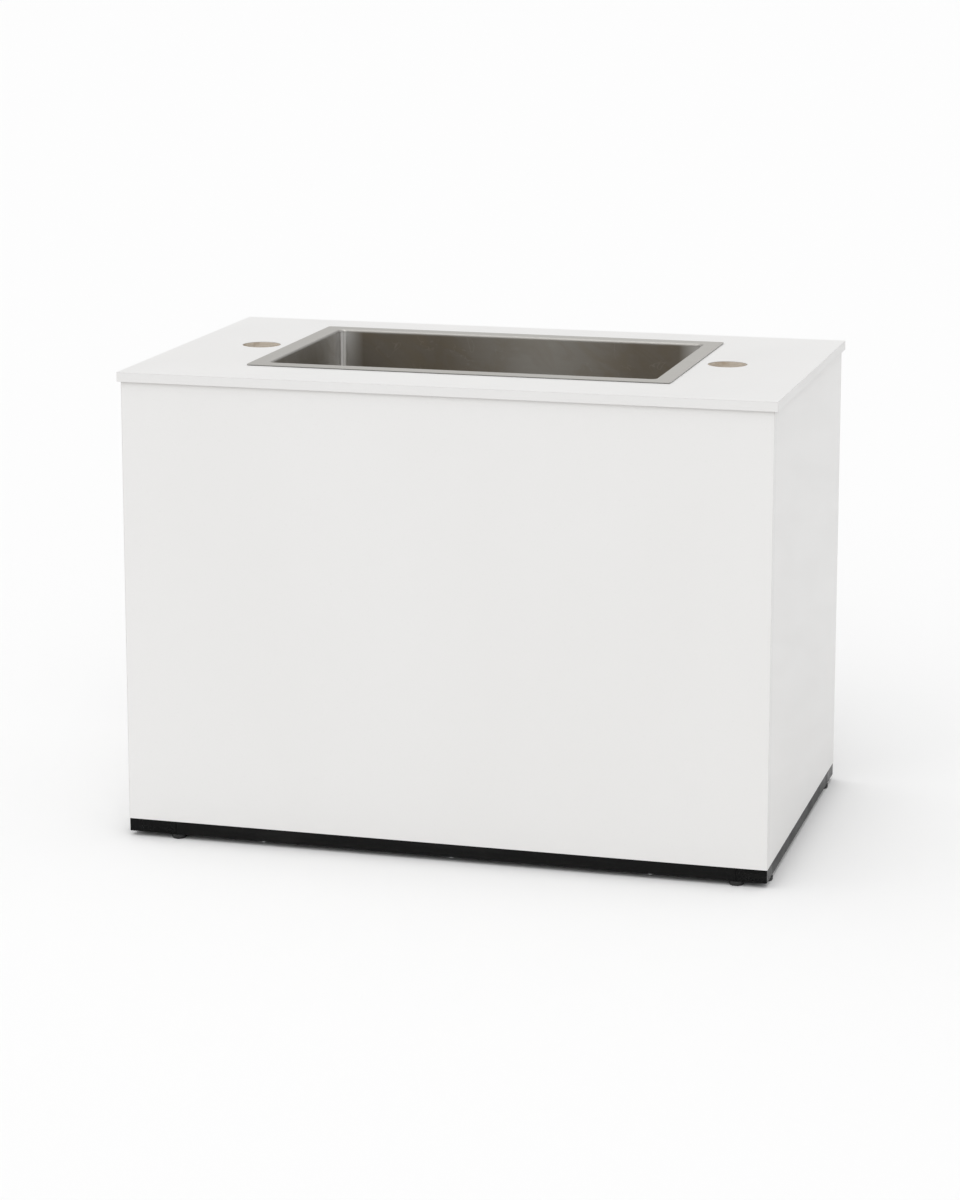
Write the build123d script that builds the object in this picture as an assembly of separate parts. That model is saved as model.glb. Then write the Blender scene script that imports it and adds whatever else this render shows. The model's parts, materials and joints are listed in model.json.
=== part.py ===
from build123d import *
import os

# Buffet counter with a drop-in ice well, in millimetres.
# The origin is on the floor under the middle of the worktop: +X to the right
# of someone facing the front panel, +Y towards the open staff side, +Z up.

# Overall size
LENGTH = 1250.0
DEPTH = 750.0
HEIGHT = 900.0

# Worktop: a plywood core between two laminate sheets, with banded edges
WORKTOP_T = 18.0
SKIN_T = 1.0
BAND_T = 1.0
SKIN_BEVEL = 0.6
OVERHANG = 6.0

# Carcass boards and battens
PANEL_T = 20.0
BATTEN = 30.0
STRETCHER_H = 100.0
BEARER_GAP = 4.0
BAND_BEVEL = 0.4

# Base frame of square tube on levelling feet
FOOT_H = 9.0
TUBE = 25.0
TUBE_WALL = 2.0
TUBE_ROUND = 1.5
BASE_INSET = 0.5
JOINT_GAP = 0.6
JOINER_LENGTH = 56.0
FOOT_X_LEFT = -523.0
FOOT_X_RIGHT = 560.0
FOOT_Y_FRONT = -316.0
FOOT_Y_BACK = 300.0
PAD_R = 14.0
PAD_GAP = 0.3
SOLE_ROUND = 3.0
PAD_ROUND = 0.8
STUD_R = 5.0
STUD_BEVEL = 1.0
STUD_TOP_GAP = 1.0
STUD_HOLE_R = 6.0
RUNNING_FIT = 0.05

# Ice well: inner size at the rim, and the sheets and foam round it
WELL_X = -9.0
WELL_Y = 20.0
WELL_LENGTH = 748.0
WELL_WIDTH = 440.0
WELL_DEPTH = 200.0
WELL_FALL = 8.0
WELL_CORNER_R = 12.0
WELL_FLOOR_R = 10.0
FALL_START = 12.0
SHEET_T = 1.5
RIM_WIDTH = 35.0
RIM_CORNER_R = 5.0
RIM_BEND_R = 5.0
SEAL_T = 1.0
SEAL_GAP = 0.1
SEAL_INSET = 3.0
SEAL_WIDTH = 9.0
FOAM_T = 16.0
FOAM_UNDER_T = 20.0
CASING_T = 1.0
CUTOUT_GAP = 2.5
CUTOUT_R = 15.0

# Two round holes through the worktop, level with the middle of the well
HOLE_R = 37.5
HOLE_SPREAD = 466.0

# Drain under the well
SUMP = 80.0
DRAIN_R = 16.5
DRAIN_BORE_R = 13.5
DRAIN_HOLE_R = 17.0
DRAIN_LENGTH = 43.0
STRAINER_R = 34.0
STRAINER_H = 6.0
STRAINER_T = 1.2
STRAINER_ROUND = 2.0
STRAINER_REST_GAP = 0.3
STRAINER_HOLE_R = 2.5
STRAINER_RINGS = ((13.0, 6), (20.0, 12), (27.0, 18))
KNOB_R = 6.0
KNOB_H = 6.0
KNOB_NECK_R = 3.0
KNOB_ROUND = 1.0

# Ball valve on the drain
VALVE_GRIP = 12.0
VALVE_LENGTH = 74.0
VALVE_HEX = 41.0
VALVE_HEX_H = 18.0
VALVE_HEX_LAP = 2.0
VALVE_BODY_R = 24.0
VALVE_ROUND = 6.0
VALVE_PORT_R = 10.0
BALL_R = 18.0
BALL_GAP = 0.3
STEM_R = 5.0
STEM_PAST_LEVER = 7.0
KEY_WIDTH = 8.0
KEY_T = 5.0
KEY_H = 4.0
BOSS_R = 11.0
BOSS_REACH = 34.0
PACKING_HEX = 20.0
PACKING_T = 8.0
LEVER_T = 3.0
LEVER_WIDTH = 16.0
LEVER_LENGTH = 112.0
LEVER_GAP = 1.0
LEVER_NUT_HEX = 13.0
LEVER_NUT_T = 5.0
SLEEVE_START = 42.0
SLEEVE_T = 8.0
SLEEVE_WIDTH = 21.0
SLEEVE_PAST_LEVER = 2.0
SLEEVE_ROUND = 3.0
TAIL_SPIGOT_R = 10.0
TAIL_BORE_R = 7.0
TAIL_LENGTH = 32.0
TAIL_HEX = 27.0
TAIL_HEX_H = 10.0
TAIL_BEVEL = 1.0

# Screws and angle brackets
SCREW_HEAD_R = 4.5
SCREW_HEAD_H = 2.8
SCREW_R = 2.25
SCREW_LENGTH = 42.0
SMALL_HEAD_R = 3.6
SMALL_HEAD_H = 2.2
SMALL_SCREW_R = 1.75
SMALL_SCREW_LENGTH = 15.0
TUBE_HOLE_R = 2.6
BRACKET_LEG = 40.0
BRACKET_WIDTH = 20.0
BRACKET_T = 2.0
BRACKET_HOLE_AT = 27.0
BRACKET_HOLE_R = 2.25

# Places of the screws and brackets along the boards
TOP_SCREWS_X = (-480, -160, 160, 480)
TOP_SCREWS_Y = (-200, 200)
BEARER_SCREWS_X = (-350, 0, 350)
CORNER_SCREWS_Z = (150, 450, 750)
SIDE_SCREWS_Z = (200, 500, 800)
FRONT_SCREWS_X = (-320, 0, 320)
SIDE_SCREWS_Y = (-80, 100)
BASE_SCREWS_X = (-350, 20, 400)
BASE_SCREWS_Y = (-160, 140)
BASE_SCREW_INSET = 8.0
FLOOR_BRACKETS_X = (-300, 300)
FLOOR_BRACKETS_Y = (-200, 150)
STRETCHER_BRACKET_Z = 805.0

# How far a cutting shape runs past the face that it cuts
PAST = 1.0

# Levels worked out from the sizes above
PANEL_BOTTOM = FOOT_H + TUBE
PANEL_TOP = HEIGHT - WORKTOP_T
CORE_TOP = HEIGHT - SKIN_T
FLOOR_TOP = PANEL_BOTTOM + PANEL_T
BATTEN_BOTTOM = PANEL_TOP - BATTEN
RIM_UNDER = HEIGHT + SEAL_T
RIM_TOP = RIM_UNDER + SHEET_T
WELL_FLOOR = RIM_TOP - WELL_DEPTH
SUMP_FLOOR = WELL_FLOOR - WELL_FALL
DRAIN_TOP = SUMP_FLOOR - SHEET_T
CASING_BOTTOM = DRAIN_TOP - FOAM_UNDER_T - CASING_T
DRAIN_BOTTOM = DRAIN_TOP - DRAIN_LENGTH
VALVE_TOP = DRAIN_BOTTOM + VALVE_GRIP
VALVE_BOTTOM = VALVE_TOP - VALVE_LENGTH
VALVE_MID = (VALVE_TOP + VALVE_BOTTOM) / 2

# Faces of the carcass and base, measured from the middle
PANEL_X = LENGTH / 2 - OVERHANG
PANEL_Y = DEPTH / 2 - OVERHANG
INNER_X = PANEL_X - PANEL_T
INNER_Y = PANEL_Y - PANEL_T
BASE_X = PANEL_X - BASE_INSET
BASE_Y = PANEL_Y - BASE_INSET
TUBE_MID_X = BASE_X - TUBE / 2
TUBE_MID_Y = BASE_Y - TUBE / 2
CASING_LENGTH = WELL_LENGTH + 2 * (SHEET_T + FOAM_T + CASING_T)
CASING_WIDTH = WELL_WIDTH + 2 * (SHEET_T + FOAM_T + CASING_T)
CUTOUT_LENGTH = CASING_LENGTH + 2 * CUTOUT_GAP
CUTOUT_WIDTH = CASING_WIDTH + 2 * CUTOUT_GAP
BEARER_Y_FRONT = WELL_Y - CUTOUT_WIDTH / 2 - BEARER_GAP - BATTEN / 2
BEARER_Y_BACK = WELL_Y + CUTOUT_WIDTH / 2 + BEARER_GAP + BATTEN / 2
TAIL_SHOULDER = VALVE_BOTTOM - TAIL_HEX_H
TAIL_BOTTOM = TAIL_SHOULDER - TAIL_LENGTH


def block(x0, x1, y0, y1, z0, z1):
    """A plain board or bar between two corners."""
    middle = Pos((x0 + x1) / 2, (y0 + y1) / 2, (z0 + z1) / 2)
    return middle * Box(abs(x1 - x0), abs(y1 - y0), abs(z1 - z0))


def rounded_block(x, y, length, width, radius, z0, z1):
    """An upright block with rounded corners, centred on x and y."""
    return Pos(x, y, z0) * extrude(RectangleRounded(length, width, radius), z1 - z0)


def rod(x, y, radius, z0, z1):
    """An upright round bar."""
    return Pos(x, y, (z0 + z1) / 2) * Cylinder(radius, z1 - z0)


def hexagon_bar(across_flats, height):
    """An upright hexagonal bar that stands on the origin."""
    return extrude(RegularPolygon(across_flats / 2, 6, major_radius=False), height)


def screw(head_r, head_h, shank_r, length):
    """A cross-head screw: the head stands on the origin, the shank points down."""
    rounding = 0.6 * head_h
    slot_length, slot_width = 1.1 * head_r, 0.22 * head_r
    tip_length, tip_r = 2 * shank_r, 0.3
    head = fillet(Cylinder(head_r, head_h).edges().sort_by(Axis.Z)[-1], rounding)
    head = Pos(0, 0, head_h / 2) * head
    for turn in (0, 90):
        head -= Rot(0, 0, turn) * Pos(0, 0, head_h) * Box(slot_length, slot_width, head_h)
    shank = Pos(0, 0, -(length - tip_length) / 2) * Cylinder(shank_r, length - tip_length)
    point = Pos(0, 0, tip_length / 2 - length) * Rot(180, 0, 0) * Cone(shank_r, tip_r, tip_length)
    return head + shank + point


def placed(shape, points, out):
    """Copies of a screw at points, with their heads facing the way out."""
    return [Plane(origin=p, z_dir=out).location * shape for p in points]


def touching(a, b):
    """True if the boxes round two solids overlap."""
    p, q = a.bounding_box(), b.bounding_box()
    apart = (
        p.min.X >= q.max.X or q.min.X >= p.max.X,
        p.min.Y >= q.max.Y or q.min.Y >= p.max.Y,
        p.min.Z >= q.max.Z or q.min.Z >= p.max.Z,
    )
    return not any(apart)


def drilled(board, screws):
    """The board with the holes that its screws have made in it."""
    for item in screws:
        if touching(board, item):
            board -= item
    return board


def worktop_openings(z0, z1):
    """The well's cut-out and the two round holes, as solids to cut away."""
    cuts = [rounded_block(WELL_X, WELL_Y, CUTOUT_LENGTH, CUTOUT_WIDTH, CUTOUT_R, z0, z1)]
    for side in (-1, 1):
        cuts.append(rod(WELL_X + side * HOLE_SPREAD, WELL_Y, HOLE_R, z0, z1))
    return cuts


def worktop_sheet(x, y, z0, z1):
    """One layer of the worktop, with the cut-out and the holes."""
    sheet = block(-x, x, -y, y, z0, z1)
    for cut in worktop_openings(z0 - PAST, z1 + PAST):
        sheet -= cut
    return sheet


def worktop():
    """The core, the two laminate sheets and the four edge bands."""
    x, y = LENGTH / 2, DEPTH / 2
    core_x, core_y = x - BAND_T, y - BAND_T
    core_bottom = PANEL_TOP + SKIN_T
    laminate = worktop_sheet(x, y, CORE_TOP, HEIGHT)
    top_face = laminate.faces().sort_by(Axis.Z)[-1]
    laminate = chamfer(top_face.outer_wire().edges(), SKIN_BEVEL)
    return {
        "worktop_core": worktop_sheet(core_x, core_y, core_bottom, CORE_TOP),
        "worktop_laminate": laminate,
        "worktop_backer": worktop_sheet(core_x, core_y, PANEL_TOP, core_bottom),
        "worktop_edge_front": edge_band(-x, x, -y, -core_y, PANEL_TOP, CORE_TOP),
        "worktop_edge_back": edge_band(-x, x, core_y, y, PANEL_TOP, CORE_TOP),
        "worktop_edge_left": edge_band(-x, -core_x, -core_y, core_y, PANEL_TOP, CORE_TOP),
        "worktop_edge_right": edge_band(core_x, x, -core_y, core_y, PANEL_TOP, CORE_TOP),
    }


def edge_band(x0, x1, y0, y1, z0, z1):
    """A thin band on a board's edge, with its long outer edges eased."""
    band = block(x0, x1, y0, y1, z0, z1)
    middle = band.center()
    across_x = abs(x1 - x0) < abs(y1 - y0)
    if across_x:
        outside = band.faces().sort_by(Axis.X)[0 if middle.X < 0 else -1]
    else:
        outside = band.faces().sort_by(Axis.Y)[0 if middle.Y < 0 else -1]
    return chamfer(outside.edges(), BAND_BEVEL)


def carcass():
    """The boards of the cabinet and the bands on their showing edges."""
    x, y = PANEL_X, PANEL_Y
    board_x, board_y = x - BAND_T, y - BAND_T
    low, high = PANEL_BOTTOM, PANEL_TOP
    return {
        "front_panel": block(-board_x, board_x, -y, -INNER_Y, low, high),
        "left_panel": block(-x, -INNER_X, -INNER_Y, board_y, low, high),
        "right_panel": block(INNER_X, x, -INNER_Y, board_y, low, high),
        "bottom_panel": block(-INNER_X, INNER_X, -INNER_Y, board_y, low, FLOOR_TOP),
        "back_stretcher": block(-INNER_X, INNER_X, INNER_Y, y, high - STRETCHER_H, high),
        "front_panel_edge_left": edge_band(-x, -board_x, -y, -INNER_Y, low, high),
        "front_panel_edge_right": edge_band(board_x, x, -y, -INNER_Y, low, high),
        "left_panel_edge_back": edge_band(-x, -INNER_X, board_y, y, low, high),
        "right_panel_edge_back": edge_band(INNER_X, x, board_y, y, low, high),
        "bottom_panel_edge_back": edge_band(-INNER_X, INNER_X, board_y, y, low, FLOOR_TOP),
    }


def battens():
    """Softwood battens in the corners, under the worktop and beside the well."""
    x, y, b = INNER_X, INNER_Y, BATTEN
    low, high = BATTEN_BOTTOM, PANEL_TOP
    front_y, back_y = BEARER_Y_FRONT - b / 2, BEARER_Y_BACK - b / 2
    return {
        "corner_batten_left": block(-x, b - x, -y, b - y, FLOOR_TOP, low),
        "corner_batten_right": block(x - b, x, -y, b - y, FLOOR_TOP, low),
        "top_batten_front": block(-x, x, -y, b - y, low, high),
        "top_batten_left": block(-x, b - x, b - y, y, low, high),
        "top_batten_right": block(x - b, x, b - y, y, low, high),
        "well_bearer_front": block(b - x, x - b, front_y, front_y + b, low, high),
        "well_bearer_back": block(b - x, x - b, back_y, back_y + b, low, high),
    }


def worktop_screws():
    """Screws driven up through the battens and bearers into the core."""
    points = [(x, BATTEN / 2 - INNER_Y, BATTEN_BOTTOM) for x in TOP_SCREWS_X]
    for side in (-1, 1):
        points += [(side * (INNER_X - BATTEN / 2), y, BATTEN_BOTTOM) for y in TOP_SCREWS_Y]
    for y in (BEARER_Y_FRONT, BEARER_Y_BACK):
        points += [(x, y, BATTEN_BOTTOM) for x in BEARER_SCREWS_X]
    body = screw(SCREW_HEAD_R, SCREW_HEAD_H, SCREW_R, SCREW_LENGTH)
    return placed(body, points, (0, 0, -1))


def panel_screws():
    """Screws driven from inside through the battens into the panels."""
    body = screw(SCREW_HEAD_R, SCREW_HEAD_H, SCREW_R, SCREW_LENGTH)
    batten_x = INNER_X - BATTEN / 2
    batten_y = INNER_Y - BATTEN / 2
    top_z = PANEL_TOP - BATTEN / 2
    to_front = [(side * batten_x, BATTEN - INNER_Y, z) for side in (-1, 1) for z in CORNER_SCREWS_Z]
    to_front += [(x, BATTEN - INNER_Y, top_z) for x in FRONT_SCREWS_X]
    screws = placed(body, to_front, (0, 1, 0))
    for side in (-1, 1):
        x = side * (INNER_X - BATTEN)
        points = [(x, -batten_y, z) for z in SIDE_SCREWS_Z]
        points += [(x, y, top_z) for y in SIDE_SCREWS_Y]
        screws += placed(body, points, (-side, 0, 0))
    return screws


def base_screws():
    """Screws driven up through the base tubes into the boards above."""
    body = screw(SCREW_HEAD_R, SCREW_HEAD_H, SCREW_R, SCREW_LENGTH)
    front_y = BASE_SCREW_INSET - BASE_Y
    side_x = BASE_X - BASE_SCREW_INSET
    points = [(x, y, FOOT_H) for y in (front_y, TUBE_MID_Y) for x in BASE_SCREWS_X]
    points += [(side * side_x, y, FOOT_H) for side in (-1, 1) for y in BASE_SCREWS_Y]
    return placed(body, points, (0, 0, -1))


def bracket_places():
    """Where each angle bracket sits: its corner, and the ways its two legs point."""
    places = [((x, -INNER_Y, FLOOR_TOP), (0, 1, 0), (0, 0, 1)) for x in FLOOR_BRACKETS_X]
    for side in (-1, 1):
        wall, inward = side * INNER_X, (-side, 0, 0)
        places += [((wall, y, FLOOR_TOP), inward, (0, 0, 1)) for y in FLOOR_BRACKETS_Y]
        places.append(((wall, INNER_Y, STRETCHER_BRACKET_Z), inward, (0, -1, 0)))
    return places


def bracket_planes():
    """The plane of each bracket, with X along one leg and Z along the other."""
    return [Plane(origin=p, x_dir=leg, z_dir=up) for p, leg, up in bracket_places()]


def angle_brackets():
    """Folded steel angles that tie the floor and the stretcher to the panels."""
    t, leg, w = BRACKET_T, BRACKET_LEG, BRACKET_WIDTH / 2
    angle = block(0, leg, -w, w, 0, t) + block(0, t, -w, w, 0, leg)
    angle = fillet(angle.edges().filter_by(Axis.Y).sort_by_distance((t, 0, t))[0], t)
    angle -= Pos(BRACKET_HOLE_AT, 0, 0) * Cylinder(BRACKET_HOLE_R, 4 * t)
    angle -= Pos(0, 0, BRACKET_HOLE_AT) * Rot(0, 90, 0) * Cylinder(BRACKET_HOLE_R, 4 * t)
    return [plane.location * angle for plane in bracket_planes()]


def bracket_screws():
    """One small screw through each leg of each bracket."""
    body = screw(SMALL_HEAD_R, SMALL_HEAD_H, SMALL_SCREW_R, SMALL_SCREW_LENGTH)
    flat = Pos(BRACKET_HOLE_AT, 0, BRACKET_T) * body
    upright = Pos(BRACKET_T, 0, BRACKET_HOLE_AT) * Rot(0, 90, 0) * body
    return [plane.location * s for plane in bracket_planes() for s in (flat, upright)]


def feet_places():
    """Where each levelling foot stands, and whether its tube runs along X."""
    places = {}
    for end, x in (("left", FOOT_X_LEFT), ("right", FOOT_X_RIGHT)):
        places[f"foot_front_{end}"] = (x, -TUBE_MID_Y, True)
        places[f"foot_back_{end}"] = (x, TUBE_MID_Y, True)
    for end, y in (("front", FOOT_Y_FRONT), ("back", FOOT_Y_BACK)):
        places[f"foot_left_{end}"] = (-TUBE_MID_X, y, False)
        places[f"foot_right_{end}"] = (TUBE_MID_X, y, False)
    return places


def base_rail(x0, x1, y0, y1):
    """A straight length of square tube with open ends, along X or Y."""
    along_x = x1 - x0 > y1 - y0
    rail = block(x0, x1, y0, y1, FOOT_H, PANEL_BOTTOM)
    rail = fillet(rail.edges().filter_by(Axis.X if along_x else Axis.Y), TUBE_ROUND)
    w = TUBE_WALL
    in_x, in_y = (-PAST, w) if along_x else (w, -PAST)
    bore = block(x0 + in_x, x1 - in_x, y0 + in_y, y1 - in_y, FOOT_H + w, PANEL_BOTTOM - w)
    return rail - bore


def base_corner(side, end, reach_x, reach_y):
    """An L-shaped mitred corner of the same tube, one leg along each rail."""
    w = TUBE_WALL
    x0, y0 = side * BASE_X, end * BASE_Y
    x1, y1 = side * (BASE_X - TUBE), end * (BASE_Y - TUBE)
    outer = block(x0, reach_x, y0, y1, FOOT_H, PANEL_BOTTOM)
    outer += block(x0, x1, y0, reach_y, FOOT_H, PANEL_BOTTOM)
    upright = outer.edges().filter_by(Axis.Z).sort_by_distance((x0, y0, PANEL_BOTTOM))[0]
    outer = fillet(upright, TUBE_ROUND)
    low, high = FOOT_H + w, PANEL_BOTTOM - w
    past_x, past_y = reach_x - side * PAST, reach_y - end * PAST
    bore = block(x0 - side * w, past_x, y0 - end * w, y1 + end * w, low, high)
    bore += block(x0 - side * w, x1 + side * w, y0 - end * w, past_y, low, high)
    return outer - bore


def base_frame(screws):
    """Four rails and four corners, butted with a fine gap over each foot."""
    g = JOINT_GAP / 2
    inner_x, inner_y = BASE_X - TUBE, BASE_Y - TUBE
    left, right = FOOT_X_LEFT, FOOT_X_RIGHT
    front, back = FOOT_Y_FRONT, FOOT_Y_BACK
    parts = {
        "base_rail_front": base_rail(left + g, right - g, -BASE_Y, -inner_y),
        "base_rail_back": base_rail(left + g, right - g, inner_y, BASE_Y),
        "base_rail_left": base_rail(-BASE_X, -inner_x, front + g, back - g),
        "base_rail_right": base_rail(inner_x, BASE_X, front + g, back - g),
        "base_corner_front_left": base_corner(-1, -1, left - g, front - g),
        "base_corner_front_right": base_corner(1, -1, right + g, front - g),
        "base_corner_back_left": base_corner(-1, 1, left - g, back + g),
        "base_corner_back_right": base_corner(1, 1, right + g, back + g),
    }
    low, wall_top = FOOT_H - PAST, FOOT_H + TUBE_WALL + PAST
    studs = [rod(x, y, STUD_HOLE_R, low, wall_top) for x, y, _ in feet_places().values()]
    middles = [item.bounding_box().center() for item in screws]
    passages = [rod(m.X, m.Y, TUBE_HOLE_R, low, PANEL_BOTTOM + PAST) for m in middles]
    return {name: drilled(tube, studs + passages) for name, tube in parts.items()}


def base_joiners():
    """Blocks inside the tubes that join them and carry the threaded studs."""
    blocks = []
    half, thick = JOINER_LENGTH / 2, TUBE / 2 - TUBE_WALL
    low, high = FOOT_H + TUBE_WALL, PANEL_BOTTOM - TUBE_WALL
    for x, y, along_x in feet_places().values():
        dx, dy = (half, thick) if along_x else (thick, half)
        joiner = block(x - dx, x + dx, y - dy, y + dy, low, high)
        blocks.append(joiner - rod(x, y, STUD_R + RUNNING_FIT, low - PAST, high + PAST))
    return blocks


def feet():
    """Levelling feet: a round pad with a rounded sole on a threaded stud."""
    top = FOOT_H - PAD_GAP
    pad = Pos(0, 0, top / 2) * Cylinder(PAD_R, top)
    pad = fillet(pad.edges().sort_by(Axis.Z)[0], SOLE_ROUND)
    pad = fillet(pad.edges().sort_by(Axis.Z)[-1], PAD_ROUND)
    stud_top = PANEL_BOTTOM - TUBE_WALL - STUD_TOP_GAP
    stud = rod(0, 0, STUD_R, top / 2, stud_top)
    foot = pad + chamfer(stud.edges().sort_by(Axis.Z)[-1], STUD_BEVEL)
    return {name: Pos(x, y, 0) * foot for name, (x, y, _) in feet_places().items()}


def tub_volume(grow):
    """The space inside the well, or the outside of its sheet if grown by it."""
    length, width = WELL_LENGTH + 2 * grow, WELL_WIDTH + 2 * grow
    floor = WELL_FLOOR - grow
    tub = rounded_block(WELL_X, WELL_Y, length, width, WELL_CORNER_R + grow, floor, RIM_TOP)
    tub = fillet(tub.faces().sort_by(Axis.Z)[0].edges(), WELL_FLOOR_R + grow)
    flat_length, flat_width = WELL_LENGTH - 2 * FALL_START, WELL_WIDTH - 2 * FALL_START
    upper = Pos(WELL_X, WELL_Y, floor) * Rectangle(flat_length, flat_width)
    lower = Pos(WELL_X, WELL_Y, floor - WELL_FALL) * Rectangle(SUMP, SUMP)
    return tub + loft([upper, lower], ruled=True)


def well_edges(shape, level):
    """The edges round the well's mouth at one level, leaving out the rim's outside."""
    near_x = WELL_LENGTH / 2 + RIM_BEND_R
    near_y = WELL_WIDTH / 2 + RIM_BEND_R
    near_z = 0.01
    chosen = []
    for edge in shape.edges().filter_by_position(Axis.Z, level - near_z, level + near_z):
        middle = edge.center()
        if abs(middle.X - WELL_X) < near_x and abs(middle.Y - WELL_Y) < near_y:
            chosen.append(edge)
    return chosen


def ice_basin():
    """The pressed well with its flat rim, sloped floor and drain hole."""
    length, width = WELL_LENGTH + 2 * RIM_WIDTH, WELL_WIDTH + 2 * RIM_WIDTH
    rim = rounded_block(WELL_X, WELL_Y, length, width, RIM_CORNER_R, RIM_UNDER, RIM_TOP)
    basin = rim + tub_volume(SHEET_T) - tub_volume(0)
    basin = fillet(well_edges(basin, RIM_TOP), RIM_BEND_R)
    basin = fillet(well_edges(basin, RIM_UNDER), RIM_BEND_R - SHEET_T)
    return basin - rod(WELL_X, WELL_Y, DRAIN_BORE_R, DRAIN_TOP - PAST, SUMP_FLOOR + PAST)


def basin_seal():
    """A flat foam tape ring between the rim and the worktop."""
    x, y, r, low, high = WELL_X, WELL_Y, RIM_CORNER_R, HEIGHT + SEAL_GAP, RIM_UNDER
    length = WELL_LENGTH + 2 * (RIM_WIDTH - SEAL_INSET)
    width = WELL_WIDTH + 2 * (RIM_WIDTH - SEAL_INSET)
    ring = rounded_block(x, y, length, width, r, low, high)
    length, width = length - 2 * SEAL_WIDTH, width - 2 * SEAL_WIDTH
    return ring - rounded_block(x, y, length, width, r, low - PAST, high + PAST)


def basin_insulation():
    """Rigid foam round the walls and under the floor of the well."""
    length = CASING_LENGTH - 2 * CASING_T
    width = CASING_WIDTH - 2 * CASING_T
    radius = WELL_CORNER_R + CASING_T
    low, high = CASING_BOTTOM + CASING_T, RIM_UNDER - RIM_BEND_R
    foam = rounded_block(WELL_X, WELL_Y, length, width, radius, low, high)
    foam -= tub_volume(SHEET_T)
    return foam - rod(WELL_X, WELL_Y, DRAIN_HOLE_R, low - PAST, DRAIN_TOP + PAST)


def basin_casing():
    """The folded sheet box that holds the foam, open at the top."""
    x, y, low, high, t = WELL_X, WELL_Y, CASING_BOTTOM, RIM_UNDER, CASING_T
    length, width, radius = CASING_LENGTH, CASING_WIDTH, WELL_CORNER_R + 2 * t
    casing = rounded_block(x, y, length, width, radius, low, high)
    length, width, radius = length - 2 * t, width - 2 * t, radius - t
    casing -= rounded_block(x, y, length, width, radius, low + t, high + PAST)
    return casing - rod(x, y, DRAIN_HOLE_R, low - PAST, low + t + PAST)


def drain_tube():
    """The tube welded under the sump, which the valve screws on to."""
    tube = rod(WELL_X, WELL_Y, DRAIN_R, DRAIN_BOTTOM, DRAIN_TOP)
    return tube - rod(WELL_X, WELL_Y, DRAIN_BORE_R, DRAIN_BOTTOM - PAST, DRAIN_TOP + PAST)


def drain_strainer():
    """A pierced cap over the drain that lifts out by its knob."""
    low = SUMP_FLOOR + STRAINER_REST_GAP
    top = low + STRAINER_H
    cap = rod(WELL_X, WELL_Y, STRAINER_R, low, top)
    cap = fillet(cap.edges().sort_by(Axis.Z)[-1], STRAINER_ROUND)
    cap -= rod(WELL_X, WELL_Y, STRAINER_R - STRAINER_T, low - PAST, top - STRAINER_T)
    hole = Cylinder(STRAINER_HOLE_R, 2 * (STRAINER_T + PAST))
    for ring_r, count in STRAINER_RINGS:
        for spot in PolarLocations(ring_r, count):
            cap -= Pos(WELL_X, WELL_Y, top) * spot * hole
    neck = rod(WELL_X, WELL_Y, KNOB_NECK_R, top - STRAINER_T, top + KNOB_H)
    knob = rod(WELL_X, WELL_Y, KNOB_R, top + KNOB_H / 2, top + KNOB_H)
    return cap + neck + fillet(knob.edges(), KNOB_ROUND)


def valve_body():
    """The brass body: two hexagon ends, a round middle and a boss for the stem."""
    centre = Pos(WELL_X, WELL_Y, VALVE_MID)
    waist = VALVE_LENGTH - 2 * (VALVE_HEX_H - VALVE_HEX_LAP)
    body = centre * Cylinder(VALVE_BODY_R, waist)
    body = fillet(body.edges(), VALVE_ROUND)
    for level in (VALVE_BOTTOM, VALVE_TOP - VALVE_HEX_H):
        body += Pos(WELL_X, WELL_Y, level) * hexagon_bar(VALVE_HEX, VALVE_HEX_H)
    boss = Rot(-90, 0, 0) * Pos(0, 0, BOSS_REACH / 2) * Cylinder(BOSS_R, BOSS_REACH)
    body += centre * boss
    body -= centre * Sphere(BALL_R + BALL_GAP)
    body -= rod(WELL_X, WELL_Y, VALVE_PORT_R, VALVE_BOTTOM - PAST, VALVE_TOP + PAST)
    body -= rod(WELL_X, WELL_Y, DRAIN_R, DRAIN_BOTTOM, VALVE_TOP + PAST)
    body -= rod(WELL_X, WELL_Y, DRAIN_BORE_R, VALVE_BOTTOM - PAST, VALVE_BOTTOM + VALVE_GRIP)
    stem_bore = Cylinder(STEM_R + RUNNING_FIT, 2 * BOSS_REACH)
    return body - centre * Rot(-90, 0, 0) * Pos(0, 0, BOSS_REACH) * stem_bore


def on_stem(shape, reach):
    """A shape that stands on the origin, set on the stem's axis at a reach from the ball."""
    return Pos(WELL_X, WELL_Y, VALVE_MID) * Rot(-90, 0, 0) * Pos(0, 0, reach) * shape


def valve_packing_nut():
    """The hexagon nut that keeps the stem in."""
    nut = hexagon_bar(PACKING_HEX, PACKING_T)
    nut -= rod(0, 0, STEM_R + RUNNING_FIT, -PAST, PACKING_T + PAST)
    return on_stem(nut, BOSS_REACH)


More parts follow.
